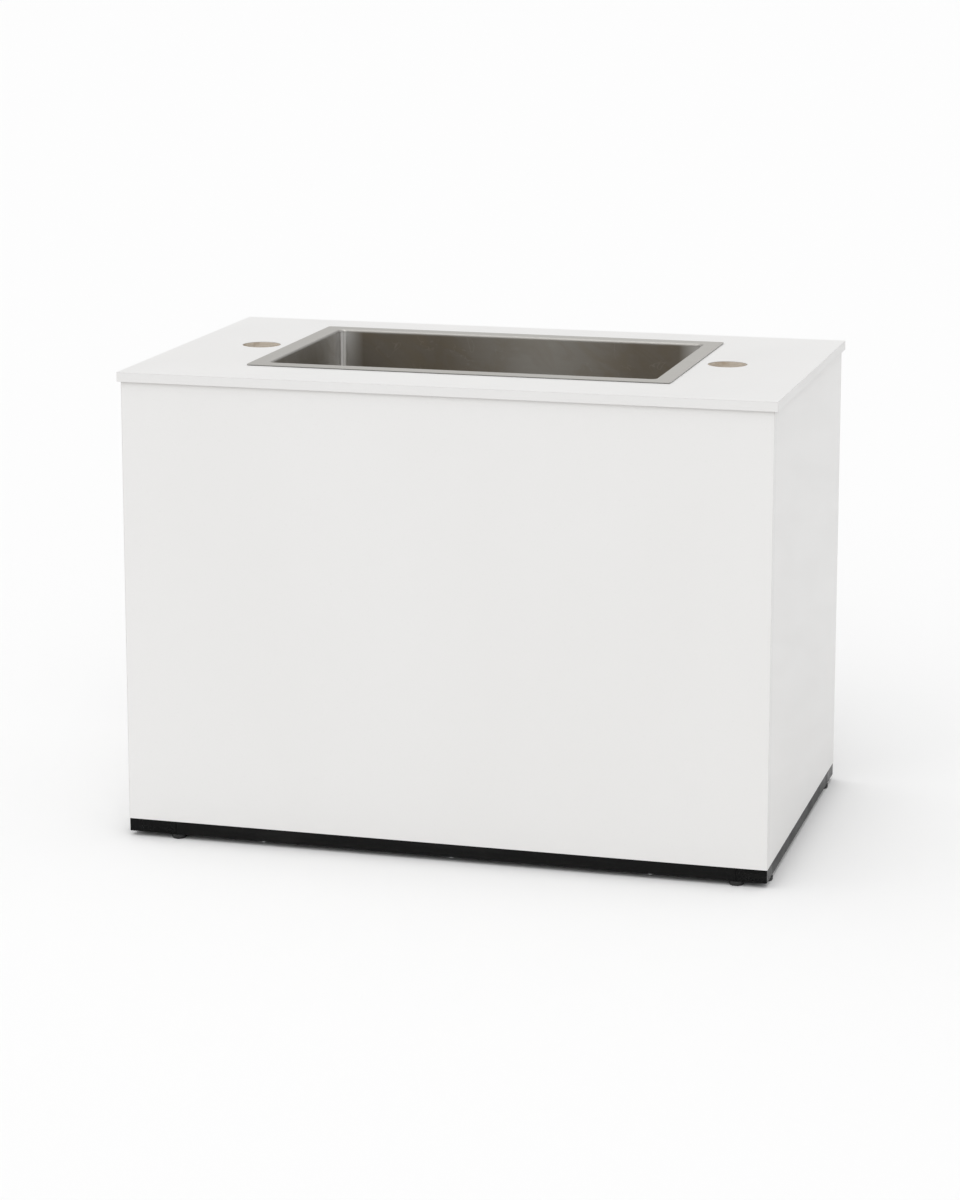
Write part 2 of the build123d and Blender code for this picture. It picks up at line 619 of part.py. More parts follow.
def valve_turning_parts():
    """The ball, stem, lever, grip and nut, which turn together."""
    lever_at = BOSS_REACH + PACKING_T + LEVER_GAP
    stem_end = lever_at + LEVER_T + STEM_PAST_LEVER
    key_at = Pos(0, 0, BALL_R - KEY_H / 2)
    ball = Sphere(BALL_R) - Rot(0, 90, 0) * Cylinder(VALVE_PORT_R, 2 * (BALL_R + PAST))
    slot = key_at * Box(2 * BALL_R, KEY_T, KEY_H)
    stem = rod(0, 0, STEM_R, BALL_R, stem_end)
    key = key_at * Box(KEY_WIDTH, KEY_T, KEY_H)
    flat = SlotOverall(LEVER_LENGTH + LEVER_WIDTH, LEVER_WIDTH)
    lever = Pos(LEVER_LENGTH / 2, 0, 0) * extrude(flat, LEVER_T)
    lever -= rod(0, 0, STEM_R, -PAST, LEVER_T + PAST)
    grip_length = LEVER_LENGTH + LEVER_WIDTH / 2 + SLEEVE_PAST_LEVER - SLEEVE_START
    grip_mid = Pos(SLEEVE_START + grip_length / 2, 0, LEVER_T / 2)
    grip = Box(grip_length, SLEEVE_WIDTH, SLEEVE_T)
    grip = grip_mid * fillet(grip.edges().filter_by(Axis.X), SLEEVE_ROUND)
    nut = hexagon_bar(LEVER_NUT_HEX, LEVER_NUT_T)
    nut = Pos(0, 0, LEVER_T) * (nut - rod(0, 0, STEM_R, -PAST, LEVER_NUT_T + PAST))
    return {
        "valve_ball": on_stem(ball - slot, 0),
        "valve_stem": on_stem(stem + key, 0),
        "valve_lever": on_stem(lever, lever_at),
        "valve_lever_grip": on_stem(grip - lever, lever_at),
        "valve_lever_nut": on_stem(nut, lever_at),
    }


def hose_tail():
    """The outlet: a hexagon and a plain spigot for a hose."""
    low, shoulder, top = TAIL_BOTTOM, TAIL_SHOULDER, VALVE_BOTTOM + VALVE_GRIP
    tail = Pos(WELL_X, WELL_Y, shoulder) * hexagon_bar(TAIL_HEX, TAIL_HEX_H)
    tail += rod(WELL_X, WELL_Y, DRAIN_BORE_R, shoulder, top)
    spigot = rod(WELL_X, WELL_Y, TAIL_SPIGOT_R, low, shoulder + PAST)
    tail += chamfer(spigot.edges().sort_by(Axis.Z)[0], TAIL_BEVEL)
    return tail - rod(WELL_X, WELL_Y, TAIL_BORE_R, low - PAST, top + PAST)


def counter():
    """Every piece by name; a list is a group of like fasteners or blocks."""
    up, inward, small, below = worktop_screws(), panel_screws(), bracket_screws(), base_screws()
    wood = {**worktop(), **carcass(), **battens()}
    pieces = {name: drilled(board, up + inward + small + below) for name, board in wood.items()}
    pieces.update(base_frame(below))
    pieces.update(feet())
    pieces.update(valve_turning_parts())
    pieces.update(
        {
            "worktop_screws": up,
            "panel_screws": inward,
            "bracket_screws": small,
            "base_screws": below,
            "angle_brackets": angle_brackets(),
            "base_joiners": base_joiners(),
            "ice_basin": ice_basin(),
            "basin_seal": basin_seal(),
            "basin_insulation": basin_insulation(),
            "basin_casing": basin_casing(),
            "drain_tube": drain_tube(),
            "drain_strainer": drain_strainer(),
            "valve_body": valve_body(),
            "valve_packing_nut": valve_packing_nut(),
            "hose_tail": hose_tail(),
        }
    )
    return pieces


os.makedirs("parts", exist_ok=True)
for name, piece in counter().items():
    shape = Compound(children=piece) if isinstance(piece, list) else piece
    export_step(shape, f"parts/{name}.step")
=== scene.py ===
import json
import math

import bpy
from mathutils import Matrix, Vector


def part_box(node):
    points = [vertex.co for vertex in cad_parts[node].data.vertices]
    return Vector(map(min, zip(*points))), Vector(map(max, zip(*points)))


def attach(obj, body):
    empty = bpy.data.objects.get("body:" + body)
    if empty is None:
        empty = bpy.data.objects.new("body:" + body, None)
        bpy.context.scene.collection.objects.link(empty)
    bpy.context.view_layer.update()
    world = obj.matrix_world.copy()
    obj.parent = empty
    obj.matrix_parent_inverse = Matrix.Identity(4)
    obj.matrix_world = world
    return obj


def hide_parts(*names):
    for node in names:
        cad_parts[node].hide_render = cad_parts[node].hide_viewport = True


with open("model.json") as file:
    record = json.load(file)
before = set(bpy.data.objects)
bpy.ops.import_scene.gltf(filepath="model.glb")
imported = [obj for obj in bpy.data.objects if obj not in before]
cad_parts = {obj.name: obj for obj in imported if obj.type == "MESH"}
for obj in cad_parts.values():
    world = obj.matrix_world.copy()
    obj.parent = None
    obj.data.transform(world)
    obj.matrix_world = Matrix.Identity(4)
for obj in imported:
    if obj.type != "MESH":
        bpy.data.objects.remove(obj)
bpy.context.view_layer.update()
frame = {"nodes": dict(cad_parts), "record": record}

# Buffet counter with a drop-in ice well. Metres, with the origin on the floor under
# the middle of the worktop; the front panel faces -Y and the open staff side faces +Y.


# Camera, floor and light

CAMERA_PLACE = (1.6255, -6.0044, 1.8744)
CAMERA_DOWN = 0.186
CAMERA_TURN = 0.2681
CAMERA_LENS = 98.06
SENSOR_WIDTH = 36.0
CAMERA_RISE = -0.12
FLOOR_RADIUS = 70.0
FLOOR_SHADE = 0.9
SKY_MEAN = 0.558
SKY_SLOPE = (-0.075, -0.06, 0.56)
FRONT_LAMP = (0.40, 0.8, (0.12, -1.0, 0.8))
TOP_LAMP = (0.26, 0.6, (-0.1, 0.0, 1.0))


def set_camera():
    """A long lens from the right and above, shifted so that uprights stay nearly parallel."""
    data = bpy.data.cameras.new("counter_camera")
    data.lens = CAMERA_LENS
    data.sensor_width = SENSOR_WIDTH
    data.shift_y = CAMERA_RISE
    data.clip_end = 200.0
    camera = bpy.data.objects.new("counter_camera", data)
    camera.location = CAMERA_PLACE
    camera.rotation_euler = (math.pi / 2 - CAMERA_DOWN, 0.0, CAMERA_TURN)
    bpy.context.scene.collection.objects.link(camera)
    bpy.context.scene.camera = camera


def set_sky():
    """A white studio all round, brighter overhead and a little dimmer behind and on the right."""
    world = bpy.data.worlds.new("studio")
    bpy.context.scene.world = world
    world.use_nodes = True
    tree = world.node_tree
    way = tree.nodes.new("ShaderNodeTexCoord")
    slope = tree.nodes.new("ShaderNodeVectorMath")
    slope.operation = "DOT_PRODUCT"
    slope.inputs[1].default_value = SKY_SLOPE
    level = tree.nodes.new("ShaderNodeMath")
    level.inputs[1].default_value = SKY_MEAN
    tree.links.new(way.outputs["Generated"], slope.inputs[0])
    tree.links.new(slope.outputs["Value"], level.inputs[0])
    glow = tree.nodes["Background"]
    glow.inputs["Color"].default_value = (1.0, 1.0, 1.0, 1.0)
    tree.links.new(level.outputs[0], glow.inputs["Strength"])


def add_lamp(name, power, spread, way):
    """A large soft lamp far off, seen as a disc of that spread in radians."""
    data = bpy.data.lights.new(name, "SUN")
    data.energy = power
    data.angle = spread
    lamp = bpy.data.objects.new(name, data)
    lamp.rotation_euler = Vector(way).to_track_quat("Z", "Y").to_euler()
    bpy.context.scene.collection.objects.link(lamp)


def lay_floor():
    """A pale floor that runs on behind the counter."""
    bpy.ops.object.select_all(action="DESELECT")
    bpy.ops.mesh.primitive_circle_add(vertices=96, radius=FLOOR_RADIUS, fill_type="NGON")
    floor = bpy.context.object
    floor.name = "studio_floor"
    paint = bpy.data.materials.new("floor_paint")
    paint.use_nodes = True
    shader = paint.node_tree.nodes["Principled BSDF"]
    shader.inputs["Base Color"].default_value = (FLOOR_SHADE, FLOOR_SHADE, FLOOR_SHADE, 1.0)
    shader.inputs["Roughness"].default_value = 0.9
    shader.inputs["Specular IOR Level"].default_value = 0.0
    floor.data.materials.append(paint)


bpy.context.scene.view_settings.view_transform = "Standard"
set_camera()
set_sky()
add_lamp("front_lamp", *FRONT_LAMP)
add_lamp("top_lamp", *TOP_LAMP)
lay_floor()


# Finishes

GRAIN = "grain"


class Finish:
    """A surface whose patterns are all given in metres on the piece itself."""

    def __init__(self, name, colour, roughness, metal=0.0, mapped=False, **sockets):
        self.material = bpy.data.materials.new(name)
        self.material.use_nodes = True
        self.tree = self.material.node_tree
        self.shader = self.tree.nodes["Principled BSDF"]
        self.shader.inputs["Roughness"].default_value = roughness
        self.shader.inputs["Metallic"].default_value = metal
        for socket, value in sockets.items():
            self.shader.inputs[socket.replace("_", " ")].default_value = value
        self.colour = (*colour, 1.0)
        self.shader.inputs["Base Color"].default_value = self.colour
        self.place = self.node("ShaderNodeTexCoord").outputs["Object"]
        self.where = self.place
        if mapped:
            self.where = self.node("ShaderNodeUVMap", uv_map=GRAIN).outputs["UV"]
        self.normal = None

    def node(self, kind, links=(), **settings):
        """One node, with sockets linked or set by their names."""
        made = self.tree.nodes.new(kind)
        for key, value in settings.items():
            setattr(made, key, value)
        for key, value in dict(links).items():
            if isinstance(value, bpy.types.NodeSocket):
                self.tree.links.new(value, made.inputs[key])
            else:
                made.inputs[key].default_value = value
        return made

    def sum(self, operation, a, b=0.0):
        """One step of arithmetic."""
        return self.node("ShaderNodeMath", {0: a, 1: b}, operation=operation).outputs[0]

    def axis(self, letter):
        """One coordinate of the place on the piece."""
        return self.node("ShaderNodeSeparateXYZ", {0: self.place}).outputs[letter]

    def bend_distance(self):
        """How far a place is, seen from above, from the middle of the nearest upright bend."""
        across = []
        for letter, middle, half in (("X", WELL_X, WELL_HALF_LENGTH), ("Y", WELL_Y, WELL_HALF_WIDTH)):
            off = self.sum("ABSOLUTE", self.sum("SUBTRACT", self.axis(letter), middle))
            off = self.sum("SUBTRACT", off, half - WELL_CORNER * (1.0 - math.sqrt(0.5)))
            across.append(self.sum("MULTIPLY", off, off))
        return self.sum("SQRT", self.sum("ADD", *across))

    def facing(self, letter):
        """How far the surface faces along an axis, either way."""
        normal = self.node("ShaderNodeNewGeometry").outputs["Normal"]
        part = self.node("ShaderNodeSeparateXYZ", {0: normal}).outputs[letter]
        return self.sum("ABSOLUTE", part)

    def spread(self, size, turn):
        """Coordinates in which one unit is size metres, or a size for each axis."""
        sizes = size if isinstance(size, tuple) else (size, size, size)
        place = self.where
        if any(turn):
            place = self.node("ShaderNodeMapping", {"Vector": place, "Rotation": turn}).outputs[0]
        scale = tuple(1.0 / s for s in sizes)
        return self.node("ShaderNodeMapping", {"Vector": place, "Scale": scale}).outputs[0]

    def noise(self, size, detail=2.0, low=0.0, high=1.0, warp=0.0, turn=(0.0, 0.0, 0.0)):
        """Cloudy noise with features of about that size, where low to high becomes 0 to 1."""
        place = self.spread(size, turn)
        sockets = {"Vector": place, "Scale": 1.0, "Detail": detail, "Distortion": warp}
        made = self.node("ShaderNodeTexNoise", sockets).outputs["Fac"]
        return self.between(made, low, high)

    def cells(self, size, output="Distance"):
        """Irregular cells of about that size."""
        sockets = {"Vector": self.spread(size, (0.0, 0.0, 0.0)), "Scale": 1.0}
        return self.node("ShaderNodeTexVoronoi", sockets).outputs[output]

    def between(self, value, low, high, out_low=0.0, out_high=1.0):
        """A value stretched so that low to high becomes the output's range."""
        sockets = {"Value": value, "From Min": low, "From Max": high, "To Min": out_low, "To Max": out_high}
        return self.node("ShaderNodeMapRange", sockets).outputs["Result"]

    def tint(self, share, colour, most=1.0):
        """Turns the colour towards another one where share is high."""
        mix = self.node("ShaderNodeMix", data_type="RGBA")
        self.tree.links.new(self.between(share, 0.0, 1.0, 0.0, most), mix.inputs[0])
        if isinstance(self.colour, tuple):
            mix.inputs[6].default_value = self.colour
        else:
            self.tree.links.new(self.colour, mix.inputs[6])
        mix.inputs[7].default_value = (*colour, 1.0)
        self.colour = mix.outputs[2]
        self.tree.links.new(self.colour, self.shader.inputs["Base Color"])

    def vary_gloss(self, share, low, high):
        """Roughness that runs from low to high with share."""
        self.tree.links.new(self.between(share, 0.0, 1.0, low, high), self.shader.inputs["Roughness"])

    def emboss(self, height, depth):
        """Raises the surface by depth metres where height is 1."""
        sockets = {"Height": height, "Strength": 1.0, "Distance": depth}
        if self.normal is not None:
            sockets["Normal"] = self.normal
        self.normal = self.node("ShaderNodeBump", sockets).outputs["Normal"]
        self.tree.links.new(self.normal, self.shader.inputs["Normal"])


def white_surface(name, pearl, shade=1.0):
    """White laminate or band: a fine pearl, faint clouding and dull wipe marks."""
    white = (0.818 * shade, 0.812 * shade, 0.803 * shade)
    cloud = (0.795 * shade, 0.787 * shade, 0.775 * shade)
    made = Finish(name, white, 0.42)
    made.tint(made.noise((0.5, 0.5, 0.8), 3.0, 0.35, 0.7), cloud, 0.7)
    made.tint(made.noise(0.004, 2.0, 0.62, 0.75), (0.75, 0.74, 0.72), 0.25)
    wipes = made.noise((0.35, 0.35, 0.05), 4.0, 0.35, 0.7, 0.6, (0.2, 0.35, 0.3))
    made.vary_gloss(wipes, 0.36, 0.46)
    made.emboss(made.noise(0.0014, 1.0), pearl)
    return made.material


def brushed_steel():
    """Brushed stainless sheet, its streaks along the grain, with smears; below the rim the walls carry
    painted shade in brown blotches and a painted highlight along each upright bend.
    """
    made = Finish("brushed_stainless", (0.475, 0.465, 0.44), 0.36, 1.0, mapped=True)
    made.shader.inputs["Anisotropic"].default_value = 0.95
    made.shader.inputs["Anisotropic Rotation"].default_value = 0.25
    along = made.node("ShaderNodeTangent", direction_type="UV_MAP", uv_map=GRAIN)
    made.tree.links.new(along.outputs["Tangent"], made.shader.inputs["Tangent"])
    streaks = made.noise((0.25, 0.0007, 1.0), 3.0, 0.3, 0.7)
    bands = made.noise((0.6, 0.012, 1.0), 2.0, 0.35, 0.65)
    made.tint(streaks, (0.41, 0.40, 0.38), 0.35)
    made.tint(bands, (0.44, 0.425, 0.40), 0.5)
    smears_and_shade = made.noise((0.11, 0.05, 1.0), 4.0, 0.45, 0.7, 1.2, (0.0, 0.0, 0.6))
    # painted shade: below the rim the walls are turned brown and dark in blotches, least around one spot
    # along x and fading out at the ends
    deep = made.between(made.axis("Z"), RIM_TOP - SHADE_FADE_TOP[0], RIM_TOP - SHADE_FADE_TOP[1], 1.0, 0.0)
    across = made.sum("ABSOLUTE", made.sum("SUBTRACT", made.axis("X"), LEAST_SHADE_X))
    wall_shade_across = made.between(across, LEAST_SHADE_REACH, FULL_SHADE_REACH, 0.35, 1.0)
    ends = made.between(across, *SHADE_FADE_ENDS, 1.0, 0.0)
    painted_wall_shade = made.sum("MULTIPLY", made.sum("MULTIPLY", wall_shade_across, ends), deep)
    patches = made.between(smears_and_shade, 0.0, 1.0, 0.8, 1.0)
    made.tint(made.sum("MULTIPLY", painted_wall_shade, patches), (0.165, 0.137, 0.10))
    # painted shade: the same smear noise darkens the walls towards brown below the rim
    made.tint(made.sum("MULTIPLY", smears_and_shade, deep), (0.30, 0.265, 0.21), 0.45)
    # painted highlight: the colour is lightened near each upright bend inside the well and turns near white
    # in a thin line at the bend
    from_bend = made.bend_distance()
    painted_bend_glow = made.between(from_bend, 0.004, PAINTED_GLOW_REACH, 1.0, 0.0)
    made.tint(made.sum("MULTIPLY", painted_bend_glow, deep), (0.80, 0.795, 0.78), 0.8)
    painted_highlight_line = made.sum("MULTIPLY", made.between(from_bend, 0.0018, PAINTED_LINE_REACH, 1.0, 0.0), deep)
    made.tint(painted_highlight_line, (0.99, 0.98, 0.97), 1.0)
    swirl = made.sum("SUBTRACT", made.noise((0.13, 0.09, 1.0), 3.0, 0.0, 1.0, 1.5), 0.5)
    wipes = made.between(made.sum("ABSOLUTE", swirl), 0.002, 0.008, 1.0, 0.0)
    wipes = made.sum("MULTIPLY", wipes, made.noise(0.06, 3.0, 0.45, 0.6))
    made.tint(made.sum("MULTIPLY", wipes, deep), (0.44, 0.42, 0.38), 0.2)
    dull = made.sum("MAXIMUM", made.sum("MULTIPLY", smears_and_shade, 0.8), streaks)
    gloss = made.sum("ADD", made.between(dull, 0.0, 1.0, 0.31, 0.36), made.sum("MULTIPLY", painted_highlight_line, 0.6))
    made.tree.links.new(gloss, made.shader.inputs["Roughness"])
    made.emboss(streaks, 0.000001)
    return made.material


def birch_ply(name, bottom, ply):
    """The cut edge of birch plywood: plies in turn end grain and side grain, and glue lines."""
    made = Finish(name, (0.86, 0.79, 0.69), 0.62)
    layer = made.sum("DIVIDE", made.sum("SUBTRACT", made.axis("Z"), bottom), ply)
    turned = made.sum("MODULO", made.sum("FLOOR", layer), 2.0)
    sideways = made.between(made.facing("X"), 0.35, 0.75)
    ends = made.sum("ABSOLUTE", made.sum("SUBTRACT", sideways, turned))
    made.tint(ends, (0.66, 0.57, 0.47), 0.75)
    made.tint(made.noise((0.012, 0.012, 0.0004), 3.0, 0.4, 0.7), (0.70, 0.60, 0.48), 0.5)
    made.tint(made.noise(0.03, 3.0, 0.5, 0.65), (0.42, 0.31, 0.20), 0.6)
    glue = made.between(made.sum("PINGPONG", layer, 0.5), 0.0, 0.1, 1.0, 0.0)
    made.tint(glue, (0.36, 0.27, 0.19), 0.5)
    made.vary_gloss(ends, 0.55, 0.8)
    fibres = made.noise((0.003, 0.003, 0.0005), 3.0)
    made.emboss(made.sum("SUBTRACT", fibres, made.sum("MULTIPLY", ends, 0.5)), 0.0001)
    return made.material


def softwood(name, along):
    """Planed pine: long growth lines, fine fibres and a few darker streaks."""
    made = Finish(name, (0.62, 0.44, 0.265), 0.6)
    lines = tuple(0.9 if letter == along else 0.0045 for letter in "XYZ")
    fibres = tuple(0.05 if letter == along else 0.0005 for letter in "XYZ")
    rings = made.noise(lines, 2.0, 0.42, 0.62, 0.4)
    made.tint(rings, (0.47, 0.29, 0.145), 0.75)
    made.tint(made.noise(fibres, 2.0, 0.45, 0.75), (0.50, 0.33, 0.18), 0.5)
    made.tint(made.noise(0.15, 2.0, 0.5, 0.75), (0.55, 0.36, 0.2), 0.5)
    made.vary_gloss(rings, 0.5, 0.68)
    made.emboss(made.noise(fibres, 2.0), 0.00006)
    return made.material


def powder_coat(name, black, gloss):
    """Satin black powder coat with orange peel, dust and a few rubbed places."""
    made = Finish(name, (black, black, black), gloss, IOR=1.22)
    made.tint(made.noise(0.004, 3.0, 0.55, 0.8), (0.014, 0.014, 0.0135), 0.5)
    made.tint(made.noise((0.2, 0.2, 0.02), 4.0, 0.55, 0.8, 0.5), (0.022, 0.0215, 0.02), 0.35)
    made.vary_gloss(made.noise(0.06, 4.0, 0.3, 0.7), gloss - 0.04, gloss + 0.08)
    made.emboss(made.noise(0.0009, 1.0), 0.00001)
    return made.material


def zinc_spangle():
    """Galvanised sheet: flat crystals, each with its own shade."""
    made = Finish("galvanised_sheet", (0.50, 0.515, 0.53), 0.42, 1.0)
    crystal = made.cells(0.014, "Color")
    shade = made.node("ShaderNodeSeparateColor", {0: crystal}).outputs[0]
    made.tint(shade, (0.64, 0.65, 0.66), 0.7)
    feathers = made.noise((0.012, 0.0015, 0.0015), 3.0, 0.4, 0.7, 1.5)
    made.tint(feathers, (0.44, 0.455, 0.47), 0.4)
    made.tint(made.noise(0.12, 3.0, 0.55, 0.75), (0.62, 0.62, 0.61), 0.4)
    made.vary_gloss(shade, 0.34, 0.55)
    made.emboss(feathers, 0.00001)
    return made.material


def plated(name, colour, dull, roughness):
    """Bright plated or machined metal with faint clouding and turning marks."""
    made = Finish(name, colour, roughness, 1.0)
    made.tint(made.noise(0.012, 3.0, 0.45, 0.75), dull, 0.6)
    made.vary_gloss(made.noise(0.006, 3.0, 0.3, 0.7), roughness - 0.05, roughness + 0.1)
    made.emboss(made.noise((0.002, 0.002, 0.0003), 2.0), 0.000008)
    return made.material


def cast_brass():
    """Brass body: a fine cast skin with darker tarnish in patches."""
    made = Finish("cast_brass", (0.70, 0.50, 0.22), 0.34, 1.0)
    tarnish = made.noise(0.015, 4.0, 0.45, 0.72, 0.5)
    made.tint(tarnish, (0.44, 0.28, 0.11), 0.6)
    made.vary_gloss(tarnish, 0.28, 0.5)
    made.emboss(made.noise(0.0012, 3.0), 0.00004)
    return made.material


def moulded(name, colour, worn, roughness, skin=0.0008, depth=0.00002):
    """Moulded plastic, sheet or rubber with a fine skin and rubbed places."""
    made = Finish(name, colour, roughness)
    made.tint(made.noise(0.012, 4.0, 0.52, 0.8), worn, 0.5)
    made.vary_gloss(made.noise(0.01, 3.0, 0.3, 0.7), roughness - 0.06, roughness + 0.1)
    made.emboss(made.noise(skin, 2.0), depth)
    return made.material


def fleece():
    """Foam board faced with a thin fleece of crossing fibres."""
    made = Finish("fleece_faced_foam", (0.66, 0.60, 0.43), 0.9)
    one_way = made.noise((0.02, 0.0006, 0.0006), 3.0, 0.4, 0.7, 2.0, (0.0, 0.4, 0.7))
    other_way = made.noise((0.0006, 0.02, 0.02), 3.0, 0.4, 0.7, 2.0, (0.5, 0.0, 0.3))
    fibres = made.sum("MAXIMUM", one_way, other_way)
    made.tint(fibres, (0.78, 0.74, 0.60), 0.6)
    made.tint(made.noise(0.05, 3.0, 0.5, 0.75), (0.58, 0.51, 0.35), 0.5)
    made.emboss(fibres, 0.00015)
    return made.material


def foam_tape():
    """Closed-cell tape: small pits in a dark skin."""
    made = Finish("closed_cell_tape", (0.02, 0.018, 0.016), 0.85)
    pits = made.between(made.cells(0.0012), 0.1, 0.5)
    made.tint(pits, (0.035, 0.032, 0.028), 0.7)
    made.emboss(pits, 0.0001)
    return made.material


CORE_LOW, CORE_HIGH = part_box("worktop_core")
RIM_LOW, RIM_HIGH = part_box("ice_basin")
RIM_TOP = RIM_HIGH.z
RIM_WIDTH = 0.035
WELL_CORNER = 0.012
WELL_X = (RIM_LOW.x + RIM_HIGH.x) / 2
WELL_Y = (RIM_LOW.y + RIM_HIGH.y) / 2
WELL_HALF_LENGTH = (RIM_HIGH.x - RIM_LOW.x) / 2 - RIM_WIDTH
WELL_HALF_WIDTH = (RIM_HIGH.y - RIM_LOW.y) / 2 - RIM_WIDTH

# Where the painted shade on the well's walls begins and ends, and how far the painted highlight reaches
# from its upright bends

LEAST_SHADE_X = 0.03
LEAST_SHADE_REACH = 0.02
FULL_SHADE_REACH = 0.2
SHADE_FADE_ENDS = (0.38, 0.405)
SHADE_FADE_TOP = (0.007, 0.002)
PAINTED_GLOW_REACH = 0.045
PAINTED_LINE_REACH = 0.003

PLIES = 11
FINISHES = {
    # painted shade: the worktop's top laminate is the panel white darkened a little by a shade of 0.985
    "white_laminate": white_surface("worktop_laminate_white", 0.000014, 0.985),
    "white_board": white_surface("panel_laminate_white", 0.000010),
    # painted shade: the edge bands are the white laminate darkened by a shade of 0.965
    "edge_band": white_surface("edge_band_white", 0.000004, 0.965),
    "backing_laminate": moulded("backing_sheet", (0.17, 0.125, 0.085), (0.22, 0.17, 0.12), 0.7, 0.002),
    "plywood_core": birch_ply("birch_ply_edge", CORE_LOW.z, (CORE_HIGH.z - CORE_LOW.z) / PLIES),
    "batten_wood": softwood("pine_along_x", "X"),
    "zinc_steel": plated("zinc_plate", (0.58, 0.59, 0.60), (0.46, 0.46, 0.44), 0.32),
    "black_steel": powder_coat("black_powder_coat", 0.003, 0.36),
    "joiner_nylon": moulded("black_nylon_block", (0.012, 0.012, 0.012), (0.03, 0.03, 0.03), 0.5),
    "black_foot": moulded("black_nylon_foot", (0.008, 0.008, 0.008), (0.03, 0.03, 0.029), 0.42),
    "stainless": brushed_steel(),
    "foam_tape": foam_tape(),
    "rigid_foam": fleece(),
    "galvanised": zinc_spangle(),
    "valve_brass": cast_brass(),
    "valve_chrome": plated("hard_chrome", (0.62, 0.62, 0.62), (0.5, 0.5, 0.49), 0.12),
    "lever_steel": plated("lever_plate", (0.56, 0.565, 0.57), (0.42, 0.42, 0.40), 0.3),
    "lever_grip": moulded("dipped_vinyl", (0.42, 0.018, 0.014), (0.30, 0.02, 0.016), 0.36, 0.003, 0.00003),
}
CORNER_COAT = powder_coat("black_powder_coat_corner", 0.0015, 0.24)
TURNED_STEEL = plated("turned_stainless", (0.55, 0.54, 0.52), (0.42, 0.41, 0.39), 0.26)
PINE_ALONG_Y = softwood("pine_along_y", "Y")
PINE_ALONG_Z = softwood("pine_along_z", "Z")

slot_of = {row["node"]: row["material_slot"] for row in frame["record"]["subparts"]}


# Modelling by hand

SHARP_TURN = 0.7
SMOOTH_TURN = 35


def take(piece):
    """Makes a piece the only one selected."""
    bpy.ops.object.select_all(action="DESELECT")
    piece.select_set(True)
    bpy.context.view_layer.objects.active = piece
    return piece


def settle(name):
    """Names the new piece and moves its place and size into its mesh."""
    piece = bpy.context.object
    piece.name = piece.data.name = name
    take(piece)
    bpy.ops.object.transform_apply(location=True, rotation=True, scale=True)
    return piece


def block(name, low, high):
    """A block between two corners."""
    low, high = Vector(low), Vector(high)
    bpy.ops.object.select_all(action="DESELECT")
    bpy.ops.mesh.primitive_cube_add(size=1.0, location=(low + high) / 2)
    bpy.context.object.scale = high - low
    return settle(name)


def drum(name, place, radius, low, high, sides=64):
    """An upright round bar."""
    bpy.ops.object.select_all(action="DESELECT")
    middle = (place[0], place[1], (low + high) / 2)
    bpy.ops.mesh.primitive_cylinder_add(vertices=sides, radius=radius, depth=high - low, location=middle)
    return settle(name)


def pick(piece, kind, test):
    """Opens a piece for editing with the parts selected whose middle and direction pass the test."""
    take(piece)
    bpy.ops.object.mode_set(mode="EDIT")
    bpy.ops.mesh.select_mode(type=kind)
    bpy.ops.mesh.select_all(action="DESELECT")
    bpy.ops.object.mode_set(mode="OBJECT")
    mesh = piece.data
    if kind == "FACE":
        for face in mesh.polygons:
            face.select = bool(test(face.center, face.normal))
    elif kind == "EDGE":
        for edge in mesh.edges:
            a, b = (mesh.vertices[i].co for i in edge.vertices)
            edge.select = bool(test((a + b) / 2, (b - a).normalized()))
    else:
        for vertex in mesh.vertices:
            vertex.select = bool(test(vertex.co, vertex.normal))
    bpy.ops.object.mode_set(mode="EDIT")


def close(piece):
    """Ends the editing of a piece."""
    bpy.ops.object.mode_set(mode="OBJECT")
    return piece


def apply(piece, kind, **settings):
    """Adds one modifier with these settings and applies it."""
    take(piece)
    change = piece.modifiers.new(kind.lower(), kind)
    for key, value in settings.items():
        setattr(change, key, value)
    bpy.ops.object.modifier_apply(modifier=change.name)
    return piece


def round_over(piece, width, segments):
    """Rounds the edges that turn sharply between two faces."""
    sizes = {"width": width, "segments": segments}
    return apply(piece, "BEVEL", limit_method="ANGLE", angle_limit=SHARP_TURN, **sizes)


def smooth(piece):
    """Shades soft turns smooth and keeps the flats flat."""
    take(piece)
    bpy.ops.object.shade_smooth_by_angle(angle=math.radians(SMOOTH_TURN))
    return apply(piece, "WEIGHTED_NORMAL", keep_sharp=True)


def cut(piece, tools):
    """Cuts the tools out of a piece and takes them away."""
    for tool in tools:
        apply(piece, "BOOLEAN", operation="DIFFERENCE", solver="EXACT", object=tool)
        bpy.data.objects.remove(tool)
    return piece


def fit(piece, body, node, finish=None, stands_for=True):
    """Gives a piece its finish, sets it on its body and lets it stand for a CAD node."""
    smooth(piece)
    piece.data.materials.clear()
    piece.data.materials.append(finish or FINISHES[slot_of[node]])
    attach(piece, body)
    if stands_for:
        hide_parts(node)
    return piece


# Boards, bands and battens

BOARD_EASE = 0.0005
BAND_EASE = 0.0002
BATTEN_EASE = 0.0015


def board(node, ease, finish=None):
    """One board, band or batten with eased edges."""
    piece = round_over(block(node + "_eased", *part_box(node)), ease, 2)
    return fit(piece, "cabinet", node, finish)


